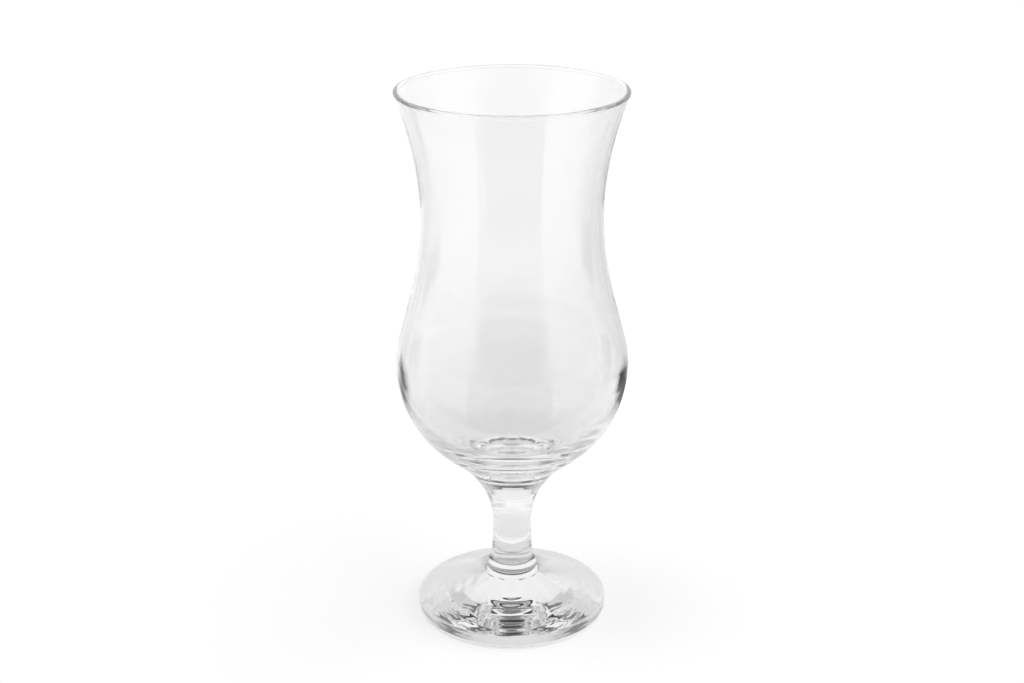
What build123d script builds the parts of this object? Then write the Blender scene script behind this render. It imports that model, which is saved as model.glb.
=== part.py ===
from build123d import *
import os
from math import cos, radians, sin, sqrt

# Hurricane glass, in millimetres: a footed drinking glass with a round belly, a waist and a flared rim.
# Four pieces of clear glass, all turned about Z, are fused one on another: foot, collar, stem and bowl.
# The origin is the centre of the plane that the foot rests on, and +Z is up.
# In each profile X is the radius and Y is the height. Angles are in degrees from level, outwards.
# A reach says how far a curve holds its direction as it leaves or meets a point.

# Foot: a pressed disc with a rounded edge, a low cone on top and a flat underside
foot_radius = 36.3
foot_edge_height = 5.75
foot_height = 15.6
foot_edge_round = 1.0
foot_heel_round = 2.0
foot_cone_top_angle = -19.5
foot_cone_top_reach = 6.0
foot_cone_edge_angle = -22.5
foot_cone_edge_reach = 9.0

# Collar: a flare that runs out onto the foot, a groove, and a round bead below the stem.
# A bow is how far an arc stands out from the straight line between its ends.
collar_radius = 10.8
collar_height = 4.7
collar_groove_radius = 9.45
collar_groove_rise = 1.5
collar_flare_bow = 0.3
collar_bead_bow = 0.6

# Stem: a solid column drawn in at its waist
stem_height = 28.0
stem_foot_radius = 8.25
stem_foot_angle = 97.0
stem_foot_reach = 8.0
stem_waist_radius = 7.3
stem_waist_rise = 13.2
stem_waist_reach = 5.0
stem_head_radius = 10.0
stem_head_angle = 64.0
stem_head_reach = 4.5

# Bowl, outside: a solid cone base, the belly, the neck and the flared rim. A rise is counted from the stem.
bowl_height = 156.7
base_radius = 10.3
base_land = 1.1
base_angle = 57.5
base_reach = 10.0
shoulder_radius = 22.95
shoulder_rise = 15.7
shoulder_angle = 38.2
shoulder_reach = 7.5
belly_radius = 43.3
belly_rise = 54.7
belly_lower_reach = 24.0
belly_upper_reach = 10.3
neck_radius = 33.3
neck_rise = 112.0
neck_lower_reach = 28.5
neck_upper_reach = 8.0
rim_radius = 42.1
rim_angle = 69.6
rim_reach = 20.0
rim_bead_radius = 0.95

# Bowl, inside: the thick rounded floor, and the wall, which thins towards the rim
floor_thickness = 16.7
floor_reach = 27.0
belly_wall = 2.3
belly_inner_reach = 20.7
neck_wall = 2.0
rim_wall = 1.5

# Levels of the joints between the pieces, and of the rim
collar_level = foot_height
stem_level = collar_level + collar_height
bowl_level = stem_level + stem_height
rim_level = bowl_level + bowl_height

upright = 90.0


def flowing_curve(start, start_angle, start_reach, end, end_angle, end_reach):
    """A smooth curve that leaves start and meets end in the given directions."""
    leaving = (
        start[0] + start_reach * cos(radians(start_angle)),
        start[1] + start_reach * sin(radians(start_angle)),
    )
    meeting = (
        end[0] - end_reach * cos(radians(end_angle)),
        end[1] - end_reach * sin(radians(end_angle)),
    )
    return Bezier(start, leaving, meeting, end)


os.makedirs("parts", exist_ok=True)

# Foot
with BuildPart() as foot:
    with BuildSketch(Plane.XZ):
        with BuildLine():
            edge_centre = (foot_radius - foot_edge_round, foot_edge_height - foot_edge_round)
            edge_turn = foot_cone_edge_angle + upright
            edge_top = (
                edge_centre[0] + foot_edge_round * cos(radians(edge_turn)),
                edge_centre[1] + foot_edge_round * sin(radians(edge_turn)),
            )
            edge_side = (foot_radius, edge_centre[1])
            heel_side = (foot_radius, foot_heel_round)
            heel_bottom = (foot_radius - foot_heel_round, 0)
            Line((0, collar_level), (collar_radius, collar_level))
            flowing_curve(
                (collar_radius, collar_level), foot_cone_top_angle, foot_cone_top_reach,
                edge_top, foot_cone_edge_angle, foot_cone_edge_reach,
            )
            CenterArc(edge_centre, foot_edge_round, 0, edge_turn)
            Line(edge_side, heel_side)
            TangentArc(heel_side, heel_bottom, tangent=(0, -1))
            Line(heel_bottom, (0, 0))
            Line((0, 0), (0, collar_level))
        make_face()
    revolve(axis=Axis.Z)
foot.part.label = "foot"
export_step(foot.part, "parts/foot.step")

# Collar
with BuildPart() as collar:
    with BuildSketch(Plane.XZ):
        with BuildLine():
            groove = (collar_groove_radius, collar_level + collar_groove_rise)
            Line((0, stem_level), (stem_foot_radius, stem_level))
            SagittaArc((stem_foot_radius, stem_level), groove, collar_bead_bow)
            SagittaArc(groove, (collar_radius, collar_level), -collar_flare_bow)
            Line((collar_radius, collar_level), (0, collar_level))
            Line((0, collar_level), (0, stem_level))
        make_face()
    revolve(axis=Axis.Z)
collar.part.label = "collar"
export_step(collar.part, "parts/collar.step")

# Stem
with BuildPart() as stem:
    with BuildSketch(Plane.XZ):
        with BuildLine():
            waist = (stem_waist_radius, stem_level + stem_waist_rise)
            Line((0, stem_level), (stem_foot_radius, stem_level))
            flowing_curve(
                (stem_foot_radius, stem_level), stem_foot_angle, stem_foot_reach,
                waist, upright, stem_waist_reach,
            )
            flowing_curve(
                waist, upright, stem_waist_reach,
                (stem_head_radius, bowl_level), stem_head_angle, stem_head_reach,
            )
            Line((stem_head_radius, bowl_level), (0, bowl_level))
            Line((0, bowl_level), (0, stem_level))
        make_face()
    revolve(axis=Axis.Z)
stem.part.label = "stem"
export_step(stem.part, "parts/stem.step")

# Bowl: the rim bead is a round that swells past the wall on both sides
bead_centre = (rim_radius - rim_bead_radius, rim_level - rim_bead_radius)
bead_drop = sqrt(rim_bead_radius**2 - (rim_wall / 2) ** 2)
up_wall = (cos(radians(rim_angle)), sin(radians(rim_angle)))
across_wall = (up_wall[1], -up_wall[0])


def beside_bead(side):
    """Where the wall runs into the bead: side is 1 on the outside and -1 on the inside."""
    return tuple(
        centre - bead_drop * up + side * rim_wall / 2 * across
        for centre, up, across in zip(bead_centre, up_wall, across_wall)
    )


with BuildPart() as bowl:
    with BuildSketch(Plane.XZ):
        with BuildLine():
            base_edge = (base_radius, bowl_level + base_land)
            shoulder = (shoulder_radius, bowl_level + shoulder_rise)
            belly = (belly_radius, bowl_level + belly_rise)
            neck = (neck_radius, bowl_level + neck_rise)
            floor = (0, bowl_level + floor_thickness)
            inner_belly = (belly_radius - belly_wall, bowl_level + belly_rise)
            inner_neck = (neck_radius - neck_wall, bowl_level + neck_rise)
            bead_top = tuple(c + rim_bead_radius * up for c, up in zip(bead_centre, up_wall))
            Line((0, bowl_level), (base_radius, bowl_level))
            Line((base_radius, bowl_level), base_edge)
            flowing_curve(base_edge, base_angle, base_reach, shoulder, shoulder_angle, shoulder_reach)
            flowing_curve(shoulder, shoulder_angle, shoulder_reach, belly, upright, belly_lower_reach)
            flowing_curve(belly, upright, belly_upper_reach, neck, upright, neck_lower_reach)
            flowing_curve(neck, upright, neck_upper_reach, beside_bead(1), rim_angle, rim_reach)
            ThreePointArc(beside_bead(1), bead_top, beside_bead(-1))
            flowing_curve(inner_neck, upright, neck_upper_reach, beside_bead(-1), rim_angle, rim_reach)
            flowing_curve(inner_belly, upright, belly_upper_reach, inner_neck, upright, neck_lower_reach)
            flowing_curve(floor, 0, floor_reach, inner_belly, upright, belly_inner_reach)
            Line(floor, (0, bowl_level))
        make_face()
    revolve(axis=Axis.Z)
bowl.part.label = "bowl"
export_step(bowl.part, "parts/bowl.step")
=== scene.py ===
import math

import bmesh
import bpy
from mathutils import Matrix, Vector
from mathutils.geometry import interpolate_bezier


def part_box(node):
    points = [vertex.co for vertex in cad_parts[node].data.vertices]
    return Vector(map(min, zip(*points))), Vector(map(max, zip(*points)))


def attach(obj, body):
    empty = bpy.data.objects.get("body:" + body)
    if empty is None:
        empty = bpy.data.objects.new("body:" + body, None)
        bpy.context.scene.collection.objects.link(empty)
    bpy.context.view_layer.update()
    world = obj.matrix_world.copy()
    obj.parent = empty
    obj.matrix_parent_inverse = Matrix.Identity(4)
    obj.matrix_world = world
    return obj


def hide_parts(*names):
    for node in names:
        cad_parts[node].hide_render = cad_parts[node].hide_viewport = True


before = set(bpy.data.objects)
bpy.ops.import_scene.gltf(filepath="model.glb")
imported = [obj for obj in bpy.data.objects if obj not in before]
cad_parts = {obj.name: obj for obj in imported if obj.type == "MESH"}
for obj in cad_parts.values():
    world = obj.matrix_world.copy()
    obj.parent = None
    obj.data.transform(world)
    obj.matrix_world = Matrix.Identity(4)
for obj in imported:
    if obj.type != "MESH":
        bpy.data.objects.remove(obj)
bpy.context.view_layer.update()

# Hurricane glass: a footed drinking glass of clear glass with a round belly, a waist and a flared rim.
# Lengths are in metres. A profile point is (radius, height), and angles are in degrees from level, outwards.
# A reach says how far a curve holds its direction as it leaves or meets a point.
MM = 0.001
UPRIGHT = 90.0
HALF_TURN = 180.0

# Turning: how finely the round pieces are cut, and how close two points or levels are to count as one
TURN_STEPS = 224
CURVE_STEP = 0.9 * MM
FEWEST_CURVE_POINTS = 4
CREASE_ANGLE = math.radians(24)
SAME_PLACE = 1e-6
MERGE_DISTANCE = 1e-7

# Levels of the fused joints and of the rim, and radii that the frame gives
COLLAR_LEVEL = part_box("collar")[0].z
STEM_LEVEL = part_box("stem")[0].z
BOWL_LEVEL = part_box("bowl")[0].z
RIM_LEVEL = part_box("bowl")[1].z
FOOT_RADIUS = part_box("foot")[1].x
COLLAR_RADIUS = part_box("collar")[1].x
STEM_HEAD_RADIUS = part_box("stem")[1].x
BELLY_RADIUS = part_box("bowl")[1].x


def flowing_curve(start, start_angle, start_reach, end, end_angle, end_reach):
    """Points of a smooth curve that leaves start and meets end in the given directions."""
    leaving = Vector(
        (
            start[0] + start_reach * math.cos(math.radians(start_angle)),
            start[1] + start_reach * math.sin(math.radians(start_angle)),
        )
    )
    meeting = Vector(
        (
            end[0] - end_reach * math.cos(math.radians(end_angle)),
            end[1] - end_reach * math.sin(math.radians(end_angle)),
        )
    )
    start = Vector(start)
    end = Vector(end)
    straight_way = (end - start).length
    corner_way = (leaving - start).length + (meeting - leaving).length + (end - meeting).length
    points = max(FEWEST_CURVE_POINTS, round((straight_way + corner_way) / 2 / CURVE_STEP))
    return interpolate_bezier(start, leaving, meeting, end, points)


def round_arc(centre, radius, start_angle, end_angle, steps):
    """Points of an arc of a circle about centre."""
    angles = (math.radians(start_angle + (end_angle - start_angle) * i / steps) for i in range(steps + 1))
    return [Vector((centre[0] + radius * math.cos(a), centre[1] + radius * math.sin(a))) for a in angles]


def bowed_arc(start, end, bow, steps):
    """Points of an arc that stands out by bow to the right of the straight way from start to end."""
    start = Vector(start)
    end = Vector(end)
    along = end - start
    across = Vector((along.y, -along.x)).normalized()
    half = along.length / 2
    centre = (start + end) / 2 - across * (half**2 - bow**2) / (2 * bow)
    sweep = 4 * math.atan(bow / half)
    return [centre + Matrix.Rotation(sweep * i / steps, 2) @ (start - centre) for i in range(steps + 1)]


def lies_at(face, level):
    """Whether a face lies flat at a level."""
    return all(abs(vert.co.z - level) < SAME_PLACE for vert in face.verts)


def turned_piece(name, outline, node, joint_levels, glass):
    """Spins an outline from axis to axis into a closed piece. Flat discs at the joint levels are fused."""
    bm = bmesh.new()
    chain = []
    for point in outline:
        if not chain or (chain[-1].co.xz - Vector(point)).length > SAME_PLACE:
            chain.append(bm.verts.new((point[0], 0.0, point[1])))
    edges = [bm.edges.new(pair) for pair in zip(chain, chain[1:])]
    bmesh.ops.spin(
        bm,
        geom=chain + edges,
        axis=(0, 0, 1),
        cent=(0, 0, 0),
        angle=math.tau,
        steps=TURN_STEPS,
        use_merge=True,
    )
    bmesh.ops.remove_doubles(bm, verts=bm.verts, dist=MERGE_DISTANCE)
    bmesh.ops.recalc_face_normals(bm, faces=bm.faces)
    for face in bm.faces:
        face.smooth = True
        face.material_index = int(any(lies_at(face, level) for level in joint_levels))
    for edge in bm.edges:
        edge.smooth = edge.calc_face_angle(0.0) < CREASE_ANGLE
    mesh = bpy.data.meshes.new(name)
    bm.to_mesh(mesh)
    bm.free()
    mesh.materials.append(glass)
    mesh.materials.append(fused_joint)
    piece = bpy.data.objects.new(name, mesh)
    bpy.context.scene.collection.objects.link(piece)
    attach(piece, "root")
    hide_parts(node)
    return piece


# Steps that several node trees share


def combined(tree, operation, first, second):
    """Two values put together by one operation, such as MULTIPLY or MAXIMUM."""
    node = tree.nodes.new("ShaderNodeMath")
    node.operation = operation
    tree.links.new(first, node.inputs[0])
    tree.links.new(second, node.inputs[1])
    return node.outputs[0]


def levelled(tree, place):
    """A place or a direction with its height taken out."""
    level = tree.nodes.new("ShaderNodeVectorMath")
    level.operation = "MULTIPLY"
    level.inputs[1].default_value = (1.0, 1.0, 0.0)
    tree.links.new(place, level.inputs[0])
    return level.outputs["Vector"]


def length_of(tree, vector):
    """How long a vector is."""
    measure = tree.nodes.new("ShaderNodeVectorMath")
    measure.operation = "LENGTH"
    tree.links.new(vector, measure.inputs[0])
    return measure.outputs["Value"]


def unit_of(tree, vector):
    """The direction of a vector, one unit long."""
    unit = tree.nodes.new("ShaderNodeVectorMath")
    unit.operation = "NORMALIZE"
    tree.links.new(vector, unit.inputs[0])
    return unit.outputs["Vector"]


# Materials: one clear glass, with the marks that forming leaves in it.
# A tint is the share of light that one surface lets through.
GLASS_IOR = 1.52
RIPPLE_DETAIL = 1.0
CLOUD_SCALE = 22.0
CLOUD_DETAIL = 2.0
TINT_CLOUDS = 0.008
RING_DETAIL = 1.0

# A wave texture at a scale of 1 runs through 20 radians of its wave in each unit of length
WAVE_LENGTH = math.tau / 20

# Mould rings: their pitch, how far and over what length they wander, their depth, and where they fade
FOOT_RINGS = {
    "pitch": 4.0 * MM,
    "wander": 1.5,
    "wander_size": 14 * MM,
    "depth": 0.03 * MM,
    "fade_start": 30 * MM,
    "fade_end": 36 * MM,
}
BASE_RINGS = {
    "pitch": 2.2 * MM,
    "wander": 2.0,
    "wander_size": 12 * MM,
    "depth": 0.02 * MM,
    "fade_start": 15 * MM,
    "fade_end": 23 * MM,
}


def make_forming_marks():
    """A node group: soft ripples of hot glass, drawn out along the axis or not, and clouds in its tint."""
    group = bpy.data.node_groups.new("forming_marks", "ShaderNodeTree")
    sockets = group.interface
    for name in ("Ripple Scale", "Upright Scale", "Ripple Depth"):
        sockets.new_socket(name, in_out="INPUT", socket_type="NodeSocketFloat")
    for name in ("Ripple", "Cloud"):
        sockets.new_socket(name, in_out="OUTPUT", socket_type="NodeSocketFloat")
    nodes = group.nodes
    links = group.links
    values = nodes.new("NodeGroupInput")
    results = nodes.new("NodeGroupOutput")
    place = nodes.new("ShaderNodeTexCoord")
    drawn = nodes.new("ShaderNodeCombineXYZ")
    drawn.inputs["X"].default_value = 1.0
    drawn.inputs["Y"].default_value = 1.0
    links.new(values.outputs["Upright Scale"], drawn.inputs["Z"])
    stretched = nodes.new("ShaderNodeVectorMath")
    stretched.operation = "MULTIPLY"
    links.new(place.outputs["Object"], stretched.inputs[0])
    links.new(drawn.outputs["Vector"], stretched.inputs[1])
    ripple = nodes.new("ShaderNodeTexNoise")
    ripple.inputs["Detail"].default_value = RIPPLE_DETAIL
    links.new(stretched.outputs["Vector"], ripple.inputs["Vector"])
    links.new(values.outputs["Ripple Scale"], ripple.inputs["Scale"])
    height = combined(group, "MULTIPLY", ripple.outputs["Fac"], values.outputs["Ripple Depth"])
    links.new(height, results.inputs["Ripple"])
    cloud = nodes.new("ShaderNodeTexNoise")
    cloud.inputs["Scale"].default_value = CLOUD_SCALE
    cloud.inputs["Detail"].default_value = CLOUD_DETAIL
    links.new(place.outputs["Object"], cloud.inputs["Vector"])
    links.new(cloud.outputs["Fac"], results.inputs["Cloud"])
    return group


def make_mould_rings():
    """A node group: low wandering rings that a mould leaves round the axis, fading between two radii."""
    group = bpy.data.node_groups.new("mould_rings", "ShaderNodeTree")
    sockets = group.interface
    for name in ("Ring Scale", "Wander", "Wander Scale", "Depth", "Fade Start", "Fade End"):
        sockets.new_socket(name, in_out="INPUT", socket_type="NodeSocketFloat")
    sockets.new_socket("Rings", in_out="OUTPUT", socket_type="NodeSocketFloat")
    nodes = group.nodes
    links = group.links
    values = nodes.new("NodeGroupInput")
    results = nodes.new("NodeGroupOutput")
    place = nodes.new("ShaderNodeTexCoord")
    rings = nodes.new("ShaderNodeTexWave")
    rings.wave_type = "RINGS"
    rings.rings_direction = "Z"
    rings.inputs["Detail"].default_value = RING_DETAIL
    links.new(place.outputs["Object"], rings.inputs["Vector"])
    links.new(values.outputs["Ring Scale"], rings.inputs["Scale"])
    links.new(values.outputs["Wander"], rings.inputs["Distortion"])
    links.new(values.outputs["Wander Scale"], rings.inputs["Detail Scale"])
    fade = nodes.new("ShaderNodeMapRange")
    fade.interpolation_type = "SMOOTHSTEP"
    fade.inputs["To Max"].default_value = 0.0
    links.new(length_of(group, levelled(group, place.outputs["Object"])), fade.inputs["Value"])
    links.new(values.outputs["Fade Start"], fade.inputs["From Min"])
    links.new(values.outputs["Fade End"], fade.inputs["From Max"])
    links.new(values.outputs["Depth"], fade.inputs["To Min"])
    height = combined(group, "MULTIPLY", rings.outputs["Fac"], fade.outputs["Result"])
    links.new(height, results.inputs["Rings"])
    return group


def ring_relief(tree, rings):
    """The relief of mould rings with the given sizes."""
    ringed = tree.nodes.new("ShaderNodeGroup")
    ringed.node_tree = mould_rings
    ringed.inputs["Ring Scale"].default_value = WAVE_LENGTH / rings["pitch"]
    ringed.inputs["Wander"].default_value = rings["wander"]
    ringed.inputs["Wander Scale"].default_value = rings["pitch"] / WAVE_LENGTH / rings["wander_size"]
    ringed.inputs["Depth"].default_value = rings["depth"]
    ringed.inputs["Fade Start"].default_value = rings["fade_start"]
    ringed.inputs["Fade End"].default_value = rings["fade_end"]
    return ringed.outputs["Rings"]


def make_glass(name, tints, heights, ripple_scale, upright_scale, ripple_depth, rings=None):
    """Clear glass whose tint runs between two greys over a span of heights, with its own forming marks."""
    material = bpy.data.materials.new(name)
    material.use_nodes = True
    tree = material.node_tree
    shader = tree.nodes["Principled BSDF"]
    shader.inputs["Roughness"].default_value = 0.0
    shader.inputs["IOR"].default_value = GLASS_IOR
    shader.inputs["Transmission Weight"].default_value = 1.0
    marks = tree.nodes.new("ShaderNodeGroup")
    marks.node_tree = forming_marks
    marks.inputs["Ripple Scale"].default_value = ripple_scale
    marks.inputs["Upright Scale"].default_value = upright_scale
    marks.inputs["Ripple Depth"].default_value = ripple_depth
    relief = marks.outputs["Ripple"]
    if rings:
        relief = combined(tree, "ADD", relief, ring_relief(tree, rings))
    bump = tree.nodes.new("ShaderNodeBump")
    bump.inputs["Distance"].default_value = 1.0
    tree.links.new(relief, bump.inputs["Height"])
    tree.links.new(bump.outputs["Normal"], shader.inputs["Normal"])
    place = tree.nodes.new("ShaderNodeTexCoord")
    split = tree.nodes.new("ShaderNodeSeparateXYZ")
    tree.links.new(place.outputs["Object"], split.inputs["Vector"])
    # The tint is darker towards the bottom of each piece
    depth = tree.nodes.new("ShaderNodeMapRange")
    depth.inputs["From Min"].default_value = heights[0]
    depth.inputs["From Max"].default_value = heights[1]
    depth.inputs["To Min"].default_value = tints[0]
    depth.inputs["To Max"].default_value = tints[1]
    tree.links.new(split.outputs["Z"], depth.inputs["Value"])
    clouds = tree.nodes.new("ShaderNodeMapRange")
    clouds.inputs["To Min"].default_value = 1.0 - TINT_CLOUDS
    clouds.inputs["To Max"].default_value = 1.0
    tree.links.new(marks.outputs["Cloud"], clouds.inputs["Value"])
    tint = combined(tree, "MULTIPLY", depth.outputs["Result"], clouds.outputs["Result"])
    tree.links.new(tint, shader.inputs["Base Color"])
    return material


def make_fused_joint():
    """Glass fused to glass has no surface of its own, so the joint lets light straight through."""
    material = bpy.data.materials.new("fused_joint")
    material.use_nodes = True
    shader = material.node_tree.nodes["Principled BSDF"]
    shader.inputs["Alpha"].default_value = 0.0
    return material


forming_marks = make_forming_marks()
mould_rings = make_mould_rings()
pressed_glass = make_glass(
    "pressed_glass",
    tints=(0.955, 0.965),
    heights=(0.0, STEM_LEVEL),
    ripple_scale=90.0,
    upright_scale=1.0,
    ripple_depth=0.004 * MM,
    rings=FOOT_RINGS,
)
drawn_glass = make_glass(
    "drawn_glass",
    tints=(0.96, 0.97),
    heights=(STEM_LEVEL, BOWL_LEVEL),
    ripple_scale=120.0,
    upright_scale=0.2,
    ripple_depth=0.003 * MM,
)
blown_glass = make_glass(
    "blown_glass",
    tints=(0.935, 0.972),
    heights=(BOWL_LEVEL, RIM_LEVEL),
    ripple_scale=55.0,
    upright_scale=1.4,
    ripple_depth=0.010 * MM,
    rings=BASE_RINGS,
)
fused_joint = make_fused_joint()

# Foot: a pressed disc with a rounded edge, a low cone on top and a flat underside
FOOT_EDGE_HEIGHT = 5.75 * MM
FOOT_EDGE_ROUND = 1.0 * MM
FOOT_EDGE_STEPS = 12
FOOT_HEEL_ROUND = 2.0 * MM
FOOT_HEEL_STEPS = 8
FOOT_CONE_TOP_ANGLE = -19.5
FOOT_CONE_TOP_REACH = 6.0 * MM
FOOT_CONE_EDGE_ANGLE = -22.5
FOOT_CONE_EDGE_REACH = 9.0 * MM


def foot_outline():
    heel_centre = (FOOT_RADIUS - FOOT_HEEL_ROUND, FOOT_HEEL_ROUND)
    heel = round_arc(heel_centre, FOOT_HEEL_ROUND, -UPRIGHT, 0, FOOT_HEEL_STEPS)
    edge_centre = (FOOT_RADIUS - FOOT_EDGE_ROUND, FOOT_EDGE_HEIGHT - FOOT_EDGE_ROUND)
    edge = round_arc(edge_centre, FOOT_EDGE_ROUND, 0, FOOT_CONE_EDGE_ANGLE + UPRIGHT, FOOT_EDGE_STEPS)
    cone_top = (COLLAR_RADIUS, COLLAR_LEVEL)
    cone = flowing_curve(
        edge[-1],
        HALF_TURN + FOOT_CONE_EDGE_ANGLE,
        FOOT_CONE_EDGE_REACH,
        cone_top,
        HALF_TURN + FOOT_CONE_TOP_ANGLE,
        FOOT_CONE_TOP_REACH,
    )
    return [Vector((0, 0))] + heel + edge + cone + [Vector((0, COLLAR_LEVEL))]


# Collar: a flare that runs out onto the foot, a groove, and a round bead below the stem
COLLAR_GROOVE_RADIUS = 9.45 * MM
COLLAR_GROOVE_RISE = 1.5 * MM
COLLAR_FLARE_BOW = 0.3 * MM
COLLAR_FLARE_STEPS = 14
COLLAR_BEAD_BOW = 0.6 * MM
COLLAR_BEAD_STEPS = 20
STEM_FOOT_RADIUS = 8.25 * MM


def collar_outline():
    groove = (COLLAR_GROOVE_RADIUS, COLLAR_LEVEL + COLLAR_GROOVE_RISE)
    flare = bowed_arc((COLLAR_RADIUS, COLLAR_LEVEL), groove, -COLLAR_FLARE_BOW, COLLAR_FLARE_STEPS)
    bead = bowed_arc(groove, (STEM_FOOT_RADIUS, STEM_LEVEL), COLLAR_BEAD_BOW, COLLAR_BEAD_STEPS)
    return [Vector((0, COLLAR_LEVEL))] + flare + bead + [Vector((0, STEM_LEVEL))]


# Stem: a solid column drawn in at its waist
STEM_FOOT_ANGLE = 97.0
STEM_FOOT_REACH = 8.0 * MM
STEM_WAIST_RADIUS = 7.3 * MM
STEM_WAIST_RISE = 13.2 * MM
STEM_WAIST_REACH = 5.0 * MM
STEM_HEAD_ANGLE = 64.0
STEM_HEAD_REACH = 4.5 * MM


def stem_outline():
    bottom = (STEM_FOOT_RADIUS, STEM_LEVEL)
    waist = (STEM_WAIST_RADIUS, STEM_LEVEL + STEM_WAIST_RISE)
    head = (STEM_HEAD_RADIUS, BOWL_LEVEL)
    lower = flowing_curve(bottom, STEM_FOOT_ANGLE, STEM_FOOT_REACH, waist, UPRIGHT, STEM_WAIST_REACH)
    upper = flowing_curve(waist, UPRIGHT, STEM_WAIST_REACH, head, STEM_HEAD_ANGLE, STEM_HEAD_REACH)
    return [Vector((0, STEM_LEVEL))] + lower + upper + [Vector((0, BOWL_LEVEL))]


# Bowl, outside: a solid cone base, the belly, the neck and the flared rim. A rise is counted from the stem.
BASE_RADIUS = 10.3 * MM
BASE_LAND = 1.1 * MM
BASE_ANGLE = 57.5
BASE_REACH = 10.0 * MM
SHOULDER_RADIUS = 22.95 * MM
SHOULDER_RISE = 15.7 * MM
SHOULDER_ANGLE = 38.2
SHOULDER_REACH = 7.5 * MM
BELLY_RISE = 54.7 * MM
BELLY_LOWER_REACH = 24.0 * MM
BELLY_UPPER_REACH = 10.3 * MM
NECK_RADIUS = 33.3 * MM
NECK_RISE = 112.0 * MM
NECK_LOWER_REACH = 28.5 * MM
NECK_UPPER_REACH = 8.0 * MM
RIM_RADIUS = 42.1 * MM
RIM_ANGLE = 69.6
RIM_REACH = 20.0 * MM
RIM_BEAD = 0.95 * MM
RIM_BEAD_STEPS = 24

# Bowl, inside: the thick rounded floor, and the wall, which thins towards the rim
FLOOR_THICKNESS = 16.7 * MM
FLOOR_REACH = 27.0 * MM
BELLY_WALL = 2.3 * MM
BELLY_INNER_REACH = 20.7 * MM
NECK_WALL = 2.0 * MM
RIM_WALL = 1.5 * MM


def bowl_outside(bead):
    """The outside from the stem up to the rim bead."""
    base_edge = (BASE_RADIUS, BOWL_LEVEL + BASE_LAND)
    shoulder = (SHOULDER_RADIUS, BOWL_LEVEL + SHOULDER_RISE)
    belly = (BELLY_RADIUS, BOWL_LEVEL + BELLY_RISE)
    neck = (NECK_RADIUS, BOWL_LEVEL + NECK_RISE)
    base = flowing_curve(base_edge, BASE_ANGLE, BASE_REACH, shoulder, SHOULDER_ANGLE, SHOULDER_REACH)
    lower = flowing_curve(shoulder, SHOULDER_ANGLE, SHOULDER_REACH, belly, UPRIGHT, BELLY_LOWER_REACH)
    middle = flowing_curve(belly, UPRIGHT, BELLY_UPPER_REACH, neck, UPRIGHT, NECK_LOWER_REACH)
    upper = flowing_curve(neck, UPRIGHT, NECK_UPPER_REACH, bead[0], RIM_ANGLE, RIM_REACH)
    return base + lower + middle + upper


def bowl_inside(bead):
    """The inside from the rim bead down to the middle of the floor."""
    neck = (NECK_RADIUS - NECK_WALL, BOWL_LEVEL + NECK_RISE)
    belly = (BELLY_RADIUS - BELLY_WALL, BOWL_LEVEL + BELLY_RISE)
    floor = (0, BOWL_LEVEL + FLOOR_THICKNESS)
    upper = flowing_curve(bead[-1], RIM_ANGLE - HALF_TURN, RIM_REACH, neck, -UPRIGHT, NECK_UPPER_REACH)
    middle = flowing_curve(neck, -UPRIGHT, NECK_LOWER_REACH, belly, -UPRIGHT, BELLY_UPPER_REACH)
    lower = flowing_curve(belly, -UPRIGHT, BELLY_INNER_REACH, floor, HALF_TURN, FLOOR_REACH)
    return upper + middle + lower


def bowl_outline():
    bead_centre = (RIM_RADIUS - RIM_BEAD, RIM_LEVEL - RIM_BEAD)
    wall_share = math.degrees(math.asin(RIM_WALL / 2 / RIM_BEAD))
    outer_meet = RIM_ANGLE - HALF_TURN + wall_share
    inner_meet = RIM_ANGLE + HALF_TURN - wall_share
    bead = round_arc(bead_centre, RIM_BEAD, outer_meet, inner_meet, RIM_BEAD_STEPS)
    joint = [Vector((0, BOWL_LEVEL)), Vector((STEM_HEAD_RADIUS, BOWL_LEVEL))]
    return joint + bowl_outside(bead) + bead + bowl_inside(bead)


turned_piece("foot_glass", foot_outline(), "foot", [COLLAR_LEVEL], pressed_glass)
turned_piece("collar_glass", collar_outline(), "collar", [COLLAR_LEVEL, STEM_LEVEL], pressed_glass)
turned_piece("stem_glass", stem_outline(), "stem", [STEM_LEVEL, BOWL_LEVEL], drawn_glass)
turned_piece("bowl_glass", bowl_outline(), "bowl", [BOWL_LEVEL], blown_glass)

# Studio: a white floor under soft lamps, in a dim room with white screens to the left, right and back.
# A bearing is in degrees round the glass, from the camera's side (-Y) towards +X.
FLOOR_DROP = 0.2 * MM
FLOOR_HALF = 8.0
FLOOR_WHITE = 0.82
FLOOR_LIFT = 0.58
ROOM_LIGHT = 0.15


def place_round(bearing, distance, height):
    """A point at a bearing and a distance from the glass."""
    turn = math.radians(bearing)
    return Vector((distance * math.sin(turn), -distance * math.cos(turn), height))


def stage_sheet(name, height, material):
    """A flat sheet of the studio, as wide as the floor. It isn't part of the object."""
    bm = bmesh.new()
    bmesh.ops.create_grid(bm, x_segments=1, y_segments=1, size=FLOOR_HALF)
    bmesh.ops.translate(bm, verts=bm.verts, vec=(0, 0, height))
    mesh = bpy.data.meshes.new(name)
    bm.to_mesh(mesh)
    bm.free()
    mesh.materials.append(material)
    sheet = bpy.data.objects.new(name, mesh)
    bpy.context.scene.collection.objects.link(sheet)
    return sheet


def glowing_paint(name, white):
    """A dull paint that can glow white."""
    material = bpy.data.materials.new(name)
    material.use_nodes = True
    shader = material.node_tree.nodes["Principled BSDF"]
    shader.inputs["Base Color"].default_value = (white, white, white, 1.0)
    shader.inputs["Roughness"].default_value = 1.0
    shader.inputs["Specular IOR Level"].default_value = 0.0
    shader.inputs["Emission Color"].default_value = (1.0, 1.0, 1.0, 1.0)
    return material


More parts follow.
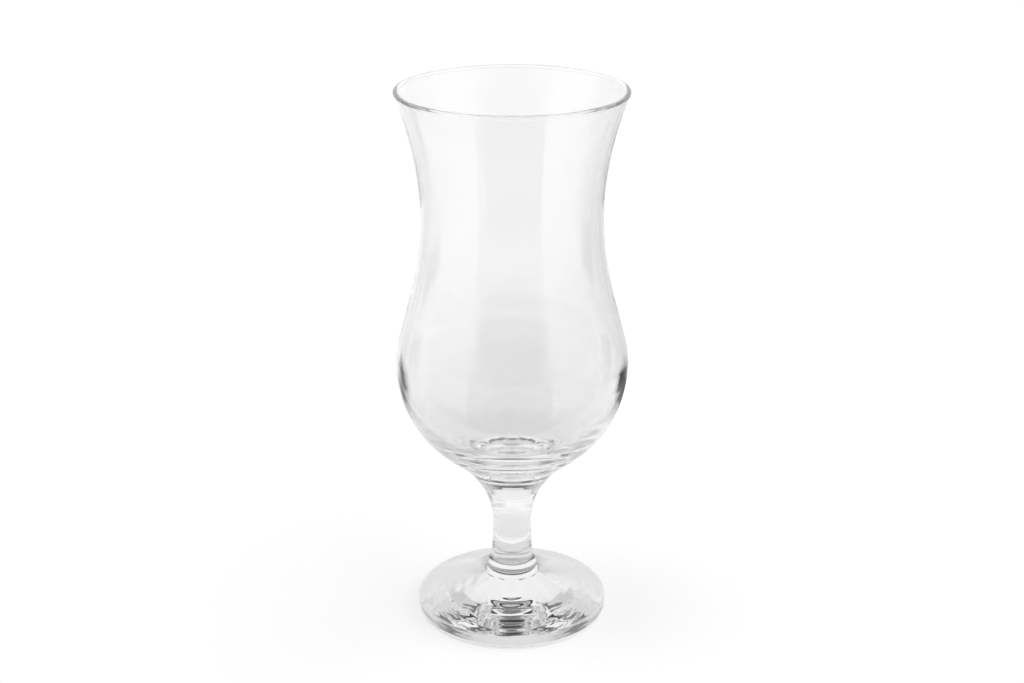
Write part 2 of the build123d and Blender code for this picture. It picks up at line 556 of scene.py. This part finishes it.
def make_floor():
    """The floor: lifted to white for the camera and for the glass, and it keeps its shadow."""
    material = glowing_paint("floor_white", FLOOR_WHITE)
    tree = material.node_tree
    path = tree.nodes.new("ShaderNodeLightPath")
    in_glass = combined(tree, "MAXIMUM", path.outputs["Is Glossy Ray"], path.outputs["Is Transmission Ray"])
    seen = combined(tree, "MAXIMUM", path.outputs["Is Camera Ray"], in_glass)
    lift = tree.nodes.new("ShaderNodeMath")
    lift.operation = "MULTIPLY"
    lift.inputs[1].default_value = FLOOR_LIFT
    tree.links.new(seen, lift.inputs[0])
    tree.links.new(lift.outputs[0], tree.nodes["Principled BSDF"].inputs["Emission Strength"])
    stage_sheet("floor", -FLOOR_DROP, material)


def near_bearing(tree, direction, bearing, full_span, end_span, level, beyond=0.0):
    """A value that is level within full_span degrees of a bearing, and beyond outside end_span."""
    facing = tree.nodes.new("ShaderNodeVectorMath")
    facing.operation = "DOT_PRODUCT"
    facing.inputs[1].default_value = place_round(bearing, 1.0, 0.0)
    tree.links.new(direction, facing.inputs[0])
    span = tree.nodes.new("ShaderNodeMapRange")
    span.interpolation_type = "SMOOTHSTEP"
    span.inputs["From Min"].default_value = math.cos(math.radians(end_span))
    span.inputs["From Max"].default_value = math.cos(math.radians(full_span))
    span.inputs["To Min"].default_value = beyond
    span.inputs["To Max"].default_value = level
    tree.links.new(facing.outputs["Value"], span.inputs["Value"])
    return span.outputs["Result"]


# Screens of the room, which show in the glass: the room is darker on the camera's side
LEFT_SCREEN = {"bearing": -72, "full_span": 24, "end_span": 42, "level": 0.95}
RIGHT_SCREEN = {"bearing": 66, "full_span": 22, "end_span": 40, "level": 0.80}
BACK_SCREEN = {"bearing": 186, "full_span": 38, "end_span": 62, "level": 0.97}
CAMERA_SIDE = {"bearing": 0, "full_span": 24, "end_span": 50, "level": 0.18, "beyond": 0.66}

# Brightness by height, from 0 at the horizon to 1 straight up: the ceiling all round, the dark strips in it
# behind the glass, and the two darker gaps beside the screen behind
CEILING_STOPS = ((0.0, 1.0), (0.62, 1.0), (0.70, 0.95), (0.90, 0.7), (0.93, 0.06))
STRIP_STOPS = (
    (0.0, 1.0),
    (0.60, 1.0),
    (0.615, 0.03),
    (0.74, 0.03),
    (0.755, 1.0),
    (0.82, 1.0),
    (0.835, 0.03),
)
STRIP_SPAN = {"bearing": 180, "full_span": 50, "end_span": 62}
GAP_STOPS = ((0.0, 1.0), (0.18, 1.0), (0.22, 0.28), (0.60, 0.28), (0.64, 1.0))
GAP_BEARINGS = (130, 232)
GAP_SPAN = {"full_span": 4, "end_span": 8}


def sky_ramp(tree, height, stops):
    """Brightness by the height of a direction, from 0 at the horizon to 1 straight up."""
    ramp = tree.nodes.new("ShaderNodeValToRGB")
    elements = ramp.color_ramp.elements
    while len(elements) < len(stops):
        elements.new(1.0)
    for element, (place, level) in zip(elements, stops):
        element.position = place
        element.color = (level, level, level, 1.0)
    tree.links.new(height, ramp.inputs["Fac"])
    return ramp.outputs["Color"]


def make_world():
    """The room: white to the camera, dim to the floor, and with its screens to the glass."""
    world = bpy.data.worlds.new("studio")
    bpy.context.scene.world = world
    world.use_nodes = True
    tree = world.node_tree
    background = tree.nodes["Background"]
    background.inputs["Color"].default_value = (1.0, 1.0, 1.0, 1.0)
    direction = tree.nodes.new("ShaderNodeTexCoord").outputs["Generated"]
    seen = near_bearing(tree, direction, **CAMERA_SIDE)
    for screen in (LEFT_SCREEN, RIGHT_SCREEN, BACK_SCREEN):
        seen = combined(tree, "MAXIMUM", seen, near_bearing(tree, direction, **screen))

    split = tree.nodes.new("ShaderNodeSeparateXYZ")
    tree.links.new(direction, split.inputs[0])
    height = split.outputs["Z"]
    seen = combined(tree, "MULTIPLY", seen, sky_ramp(tree, height, CEILING_STOPS))
    round_about = unit_of(tree, levelled(tree, direction))
    elsewhere = near_bearing(tree, round_about, **STRIP_SPAN, level=0.0, beyond=1.0)
    strips = combined(tree, "MAXIMUM", sky_ramp(tree, height, STRIP_STOPS), elsewhere)
    seen = combined(tree, "MULTIPLY", seen, strips)
    for bearing in GAP_BEARINGS:
        beside = near_bearing(tree, round_about, bearing, **GAP_SPAN, level=0.0, beyond=1.0)
        gap = combined(tree, "MAXIMUM", sky_ramp(tree, height, GAP_STOPS), beside)
        seen = combined(tree, "MULTIPLY", seen, gap)

    path = tree.nodes.new("ShaderNodeLightPath")
    in_glass = tree.nodes.new("ShaderNodeMapRange")
    in_glass.inputs["To Min"].default_value = ROOM_LIGHT
    tree.links.new(path.outputs["Is Glossy Ray"], in_glass.inputs["Value"])
    tree.links.new(seen, in_glass.inputs["To Max"])
    to_camera = tree.nodes.new("ShaderNodeMapRange")
    to_camera.inputs["To Max"].default_value = 1.0
    tree.links.new(path.outputs["Is Camera Ray"], to_camera.inputs["Value"])
    tree.links.new(in_glass.outputs["Result"], to_camera.inputs["To Min"])
    tree.links.new(to_camera.outputs["Result"], background.inputs["Strength"])


# Painted shade: grey sheets that lie one over another on the floor and show only in the glass.
# Darker than the white floor, they paint dark reflections, shade on the bowl, and the shadow by the foot.
# Each covers a span of bearings and of distances, and its edges fade over the given widths.
# One that is only reflected paints a dark reflection and doesn't show straight through the glass.
PAINTED_SHADE_LOWEST = -0.15 * MM
PAINTED_SHADE_STEP = 0.015 * MM
PAINTED_SHADES = (
    # Painted dark reflection: the floor on the camera's side, darkened in reflections only
    {
        "name": "painted_dark_reflection_front",
        "level": 0.5,
        "bearings": (-42, 38),
        "side_fade": 0.5,
        "distances": (0.07, 7.9),
        "near_fade": 0.15,
        "far_fade": 0.0001,
        "only_reflected": True,
    },
    # Painted shade: the floor behind and to the left, greyed in the glass to shade the bowl's left edge
    {
        "name": "painted_shade_left",
        "level": 0.85,
        "bearings": (198, 266),
        "side_fade": 25,
        "distances": (0.20, 2.2),
        "near_fade": 0.15,
        "far_fade": 0.9,
        "only_reflected": False,
    },
    # Painted shade: the floor behind and to the right, greyed in the glass to shade the bowl's right edge
    {
        "name": "painted_shade_right",
        "level": 0.75,
        "bearings": (84, 178),
        "side_fade": 30,
        "distances": (0.24, 2.2),
        "near_fade": 0.10,
        "far_fade": 0.9,
        "only_reflected": False,
    },
    # Painted shade: the floor behind the glass, greyed in the glass to darken the lower belly
    {
        "name": "painted_shade_wide",
        "level": 0.94,
        "bearings": (122, 206),
        "side_fade": 32,
        "distances": (0.15, 0.46),
        "near_fade": 0.06,
        "far_fade": 0.28,
        "only_reflected": False,
    },
    # Painted dark reflection: a dark line near the bowl's lower left edge
    {
        "name": "painted_dark_reflection_line",
        "level": 0.15,
        "bearings": (214, 244),
        "side_fade": 6,
        "distances": (0.17, 0.42),
        "near_fade": 0.03,
        "far_fade": 0.10,
        "only_reflected": True,
    },
    # Painted dark reflection: a dark patch at the bowl's lower right
    {
        "name": "painted_dark_reflection_patch",
        "level": 0.06,
        "bearings": (120, 160),
        "side_fade": 5,
        "distances": (0.175, 0.34),
        "near_fade": 0.012,
        "far_fade": 0.08,
        "only_reflected": True,
    },
    # Painted shadow of the glass on the floor behind the foot, seen only through and in the glass
    {
        "name": "painted_shadow_behind_foot",
        "level": 0.80,
        "bearings": (95, 265),
        "side_fade": 50,
        "distances": (0.045, 0.24),
        "near_fade": 0.012,
        "far_fade": 0.17,
        "only_reflected": False,
    },
    # Painted shadow: a dark ring on the floor just behind the foot's edge, seen as dark arcs in the collar
    {
        "name": "painted_shadow_at_foot_edge",
        "level": 0.14,
        "bearings": (120, 240),
        "side_fade": 20,
        "distances": (0.0365, 0.045),
        "near_fade": 0.001,
        "far_fade": 0.004,
        "only_reflected": False,
    },
    # Painted shade on the floor under the back of the foot, seen only through and in the glass
    {
        "name": "painted_shadow_under_foot",
        "level": 0.42,
        "bearings": (140, 220),
        "side_fade": 25,
        "distances": (0.0001, 0.024),
        "near_fade": 0.0001,
        "far_fade": 0.006,
        "only_reflected": False,
    },
)


def make_painted_shade(height, name, level, bearings, side_fade, distances, near_fade, far_fade, only_reflected):
    """One sheet of painted shade, clear outside the span it covers."""
    material = glowing_paint(name, 0.0)
    tree = material.node_tree
    shader = tree.nodes["Principled BSDF"]
    # The sheet glows at its grey level, darker than the white floor: painted shade in what the glass shows
    shader.inputs["Emission Strength"].default_value = level
    place = levelled(tree, tree.nodes.new("ShaderNodeTexCoord").outputs["Object"])
    away = length_of(tree, place)
    middle = (bearings[0] + bearings[1]) / 2
    half = (bearings[1] - bearings[0]) / 2
    shade_mask = near_bearing(tree, unit_of(tree, place), middle, half - side_fade, half, level=1.0)
    near, far = distances
    for clear_at, full_at in ((near, near + near_fade), (far, far - far_fade)):
        ramp = tree.nodes.new("ShaderNodeMapRange")
        ramp.interpolation_type = "SMOOTHSTEP"
        ramp.inputs["From Min"].default_value = clear_at
        ramp.inputs["From Max"].default_value = full_at
        tree.links.new(away, ramp.inputs["Value"])
        shade_mask = combined(tree, "MULTIPLY", shade_mask, ramp.outputs["Result"])
    if only_reflected:
        path = tree.nodes.new("ShaderNodeLightPath")
        shade_mask = combined(tree, "MINIMUM", shade_mask, path.outputs["Glossy Depth"])
    tree.links.new(shade_mask, shader.inputs["Alpha"])
    painted_shade = stage_sheet(name, height, material)
    painted_shade.visible_camera = False
    painted_shade.visible_diffuse = False
    painted_shade.visible_shadow = False


def make_lamp(name, bearing, elevation, spread, brightness):
    """A broad distant lamp: it lights the floor evenly and adds the given share of its white."""
    lamp = bpy.data.lights.new(name, "SUN")
    lamp.angle = math.radians(spread)
    lamp.energy = math.pi * brightness / FLOOR_WHITE / math.sin(math.radians(elevation))
    softbox = bpy.data.objects.new(name, lamp)
    bpy.context.scene.collection.objects.link(softbox)
    place = place_round(bearing, math.cos(math.radians(elevation)), math.sin(math.radians(elevation)))
    softbox.rotation_euler = (-place).to_track_quat("-Z", "Y").to_euler()
    softbox.visible_camera = False
    softbox.visible_glossy = False
    softbox.visible_transmission = False


make_floor()
make_world()
# Sheets of painted shade and painted dark reflections, stacked just under the glass
for order, painted_shade in enumerate(PAINTED_SHADES):
    make_painted_shade(PAINTED_SHADE_LOWEST + PAINTED_SHADE_STEP * order, **painted_shade)
make_lamp("key_lamp", bearing=-92, elevation=75, spread=32, brightness=0.14)
make_lamp("side_lamp", bearing=85, elevation=48, spread=80, brightness=0.20)

# Camera fitted to the photograph
CAMERA_PLACE = (0.0, -0.6168, 0.3438)
CAMERA_PITCH = 20.80
CAMERA_LENS = 62.4
CAMERA_SENSOR = 36.0

camera_data = bpy.data.cameras.new("camera")
camera_data.sensor_width = CAMERA_SENSOR
camera_data.lens = CAMERA_LENS
camera = bpy.data.objects.new("camera", camera_data)
bpy.context.scene.collection.objects.link(camera)
camera.location = CAMERA_PLACE
camera.rotation_euler = (math.radians(UPRIGHT - CAMERA_PITCH), 0, 0)
bpy.context.scene.camera = camera

bpy.context.scene.view_settings.view_transform = "Standard"

# Light bounces many times inside thick glass before it leaves
GLASS_BOUNCES = 160
bpy.context.scene.cycles.max_bounces = GLASS_BOUNCES
bpy.context.scene.cycles.glossy_bounces = GLASS_BOUNCES
bpy.context.scene.cycles.transmission_bounces = GLASS_BOUNCES
bpy.context.scene.cycles.transparent_max_bounces = GLASS_BOUNCES
